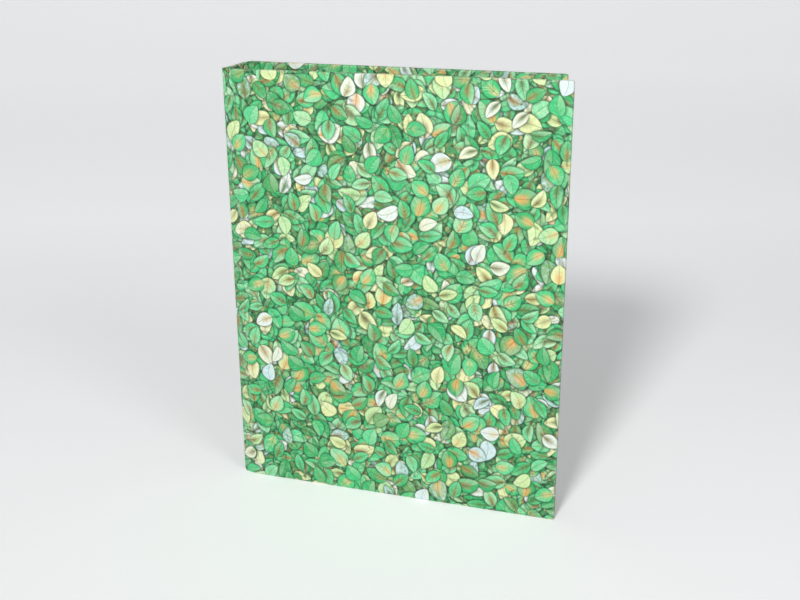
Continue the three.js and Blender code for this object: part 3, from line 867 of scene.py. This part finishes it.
def ring_mechanism():
    pattern = row_pattern()
    for side in ("front", "back"):
        half = pressed_metal(
            f"bottom_ring_{side}_half", f"{side}_ring_half_shape", RING_SHARP_ANGLE)
        rings = row_of(half, f"{side}_ring_halves", RING_SPACING, RING_COUNT, pattern)
        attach(rings, f"{side}_plate")
        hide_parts(*[f"{place}_ring_{side}_half" for place in ("bottom", "middle", "top")])
    rivet = pressed_metal("bottom_rivet", "rivet_shape")
    rivets = row_of(rivet, "rivets", RIVET_SPACING, RIVET_COUNT, pattern)
    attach(rivets, "spine")
    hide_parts("bottom_rivet", "top_rivet")
    for node, body in (
        ("mechanism_housing", "spine"), ("front_hinge_plate", "front_plate"),
        ("back_hinge_plate", "back_plate"), ("top_lever", "top_lever"),
        ("bottom_lever", "bottom_lever"),
    ):
        piece = pressed_metal(node, f"{node}_plated")
        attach(piece, body)
        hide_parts(node)


# Floor, backdrop and lights
FLOOR_AHEAD = 4.0
FLOOR_BEHIND = 2.2
FLOOR_SIDE = 4.0
BEND = 0.9
BEND_STEPS = 24
WALL_SLANT = 88
WALL_RISE = 2.2
GLOW_NEAR, GLOW_FAR = -0.5, 2.5
GLOW = [
    (0.02, (0.04,) * 3), (0.08, (0.13,) * 3), (0.16, (0.18,) * 3),
    (0.30, (0.31,) * 3), (0.90, (0.44,) * 3),
]
CARD_SHADES = ((0.92, 0.925, 0.935, 1), (0.93, 0.935, 0.94, 1))
SKY = (0.96, 0.98, 1.0, 1)
SKY_STRENGTH = 0.24
KEY = {"place": (-0.1, -1.84, 1.3), "target": (0, 0, 0.1), "size": 0.42, "power": 36.0}
FILL = {"place": (0.52, -0.38, 0.58), "target": (0.03, 0, 0.16), "size": 0.3, "power": 1.3}


def add_stage():
    """One sheet of pale card, turned square to the camera, that sweeps up far behind the binder."""
    heading = math.radians(CAMERA_TURN[2])
    finish = Finish("card", Roughness=0.7, Specular_IOR_Level=0.25, Emission_Strength=1.0)
    place = finish.coordinates()
    fibre = finish.noise(place, scale=900.0, detail=3.0)
    finish.paint(Base_Color=finish.mix(fibre, *CARD_SHADES))
    # To the camera the card glows a little, and more the farther it lies behind the binder.
    way = (-math.sin(heading), math.cos(heading), 0.0)
    behind = finish.vector("DOT_PRODUCT", place, way, "Value")
    glow = finish.ramp(behind.smooth(GLOW_NEAR, GLOW_FAR), GLOW)
    seen = finish.node("ShaderNodeLightPath", None, None, "Is Camera Ray")
    camera, glossy, through = finish.outputs(
        seen, "Is Camera Ray", "Is Glossy Ray", "Is Transmission Ray")
    share = (camera + glossy + through).math("MINIMUM", 1.0)
    finish.paint(Emission_Color=finish.mix(share, (0, 0, 0, 1), glow))
    profile = [(-FLOOR_AHEAD, 0.0)]
    for i in range(BEND_STEPS + 1):
        angle = math.radians(WALL_SLANT) * i / BEND_STEPS
        profile.append((FLOOR_BEHIND + BEND * math.sin(angle), BEND - BEND * math.cos(angle)))
    back, up = profile[-1]
    profile.append((back + WALL_RISE * math.cos(math.radians(WALL_SLANT)), up + WALL_RISE))
    points = []
    for back, up in profile:
        for across in (-FLOOR_SIDE, FLOOR_SIDE):
            points.append((
                across * math.cos(heading) - back * math.sin(heading),
                across * math.sin(heading) + back * math.cos(heading),
                up,
            ))
    faces = [(2 * i, 2 * i + 1, 2 * i + 3, 2 * i + 2) for i in range(len(profile) - 1)]
    mesh = bpy.data.meshes.new("card")
    mesh.from_pydata(points, [], faces)
    mesh.shade_smooth()
    mesh.materials.append(finish.material)
    card = bpy.data.objects.new("card", mesh)
    bpy.context.scene.collection.objects.link(card)


def add_lamp(name, place, target, size, power):
    data = bpy.data.lights.new(name, "AREA")
    data.shape = "DISK"
    data.size = size
    data.energy = power
    lamp = bpy.data.objects.new(name, data)
    lamp.location = place
    aim = Vector(target) - Vector(place)
    lamp.rotation_euler = aim.to_track_quat("-Z", "Y").to_euler()
    bpy.context.scene.collection.objects.link(lamp)


def add_light():
    world = bpy.data.worlds.new("studio")
    bpy.context.scene.world = world
    world.use_nodes = True
    background = world.node_tree.nodes["Background"]
    background.inputs["Color"].default_value = SKY
    background.inputs["Strength"].default_value = SKY_STRENGTH
    add_lamp("key", **KEY)
    add_lamp("fill", **FILL)


bpy.context.scene.view_settings.view_transform = "Standard"
add_camera()
add_light()
add_stage()
dress_nodes()
case_papers()
ring_mechanism()
